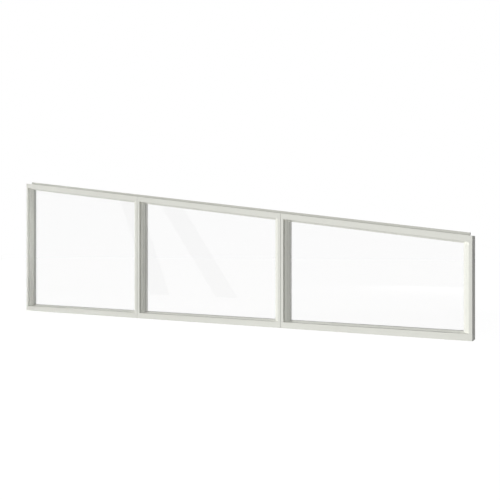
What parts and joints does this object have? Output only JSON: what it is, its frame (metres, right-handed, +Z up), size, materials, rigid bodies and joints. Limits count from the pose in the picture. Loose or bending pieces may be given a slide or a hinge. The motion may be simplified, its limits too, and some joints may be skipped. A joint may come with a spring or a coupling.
{
  "type": "raked window",
  "caption": "Fixed raked window: three double-glazed units in coupled aluminium frames under one sloping head, with a sub-head channel on top.",
  "frame": {"origin": "centre of the flat underside of the sills, halfway through the frame's depth", "axes": "+X along the sill to the low end, +Y from the front face to the rear face, +Z up"},
  "size_m": [3.604, 0.09, 1.0877],
  "materials": {
    "frame": "satin off-white powder coat on extruded aluminium",
    "bead": "satin off-white powder coat on extruded aluminium",
    "glass": "clear float glass",
    "spacer": "mill aluminium",
    "gasket": "matte grey glazing rubber",
    "coupling": "matte grey sealing strip"
  },
  "bodies": {
    "root": {"left_unit_sill": "frame", "left_unit_sill_bead": "bead", "left_unit_left_jamb": "frame", "left_unit_left_jamb_bead": "bead", "left_unit_head": "frame", "left_unit_head_bead": "bead", "left_unit_right_jamb": "frame", "left_unit_right_jamb_bead": "bead", "left_unit_front_pane": "glass", "left_unit_rear_pane": "glass", "left_unit_spacer": "spacer", "left_unit_front_gasket": "gasket", "left_unit_rear_gasket": "gasket", "middle_unit_sill": "frame", "middle_unit_sill_bead": "bead", "middle_unit_left_jamb": "frame", "middle_unit_left_jamb_bead": "bead", "middle_unit_head": "frame", "middle_unit_head_bead": "bead", "middle_unit_right_jamb": "frame", "middle_unit_right_jamb_bead": "bead", "middle_unit_front_pane": "glass", "middle_unit_rear_pane": "glass", "middle_unit_spacer": "spacer", "middle_unit_front_gasket": "gasket", "middle_unit_rear_gasket": "gasket", "right_unit_sill": "frame", "right_unit_sill_bead": "bead", "right_unit_left_jamb": "frame", "right_unit_left_jamb_bead": "bead", "right_unit_head": "frame", "right_unit_head_bead": "bead", "right_unit_right_jamb": "frame", "right_unit_right_jamb_bead": "bead", "right_unit_front_pane": "glass", "right_unit_rear_pane": "glass", "right_unit_spacer": "spacer", "right_unit_front_gasket": "gasket", "right_unit_rear_gasket": "gasket", "sub_head": "frame", "left_coupling_strip": "coupling", "middle_coupling_strip": "coupling"}
  },
  "joints": []
}
